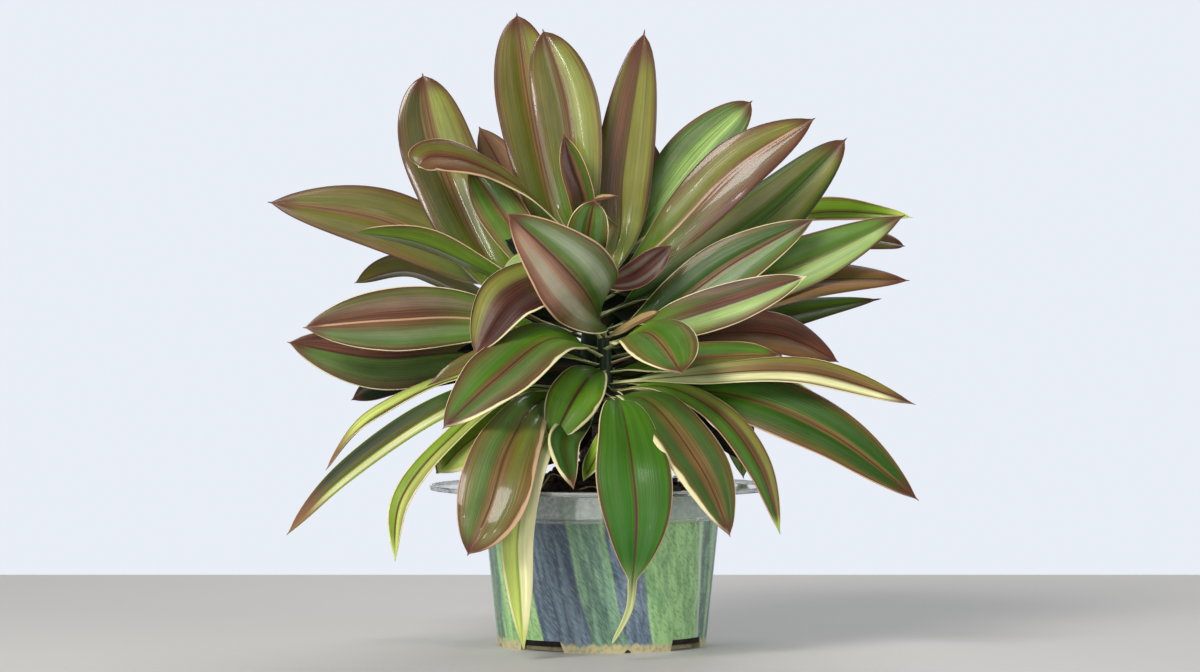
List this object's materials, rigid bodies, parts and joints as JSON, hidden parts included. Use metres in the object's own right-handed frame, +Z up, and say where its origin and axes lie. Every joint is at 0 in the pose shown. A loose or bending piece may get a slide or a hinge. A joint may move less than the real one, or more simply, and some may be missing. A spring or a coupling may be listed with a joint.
{
  "type": "potted ti plant",
  "caption": "Leafy ti plant with broad arching blades on woody canes, standing in a tapering nursery pot with a clear collar round its rim.",
  "frame": {"origin": "middle of the pot's floor, on its underside, at the level of the surface that the pot stands on", "axes": "+Z up along the pot's axis, -Y towards the plant's front, +X to the right seen from the front"},
  "size_m": [0.3661, 0.2856, 0.3511],
  "materials": {
    "pot": "thin moulded plastic, marbled green and slate",
    "clear_collar": "clear, glossy",
    "potting_mix": "dark, coarse and damp",
    "bark": "dry bark",
    "leaves_low": "waxy green with brown midribs and cream edges",
    "leaves_tall": "waxy olive green with brown midribs and cream edges"
  },
  "bodies": {
    "root": {"pot": "pot", "clear_collar": "clear_collar", "potting_mix": "potting_mix", "cane_low": "bark", "cane_tall": "bark", "leaves_low": "leaves_low", "leaves_tall": "leaves_tall"}
  },
  "joints": []
}
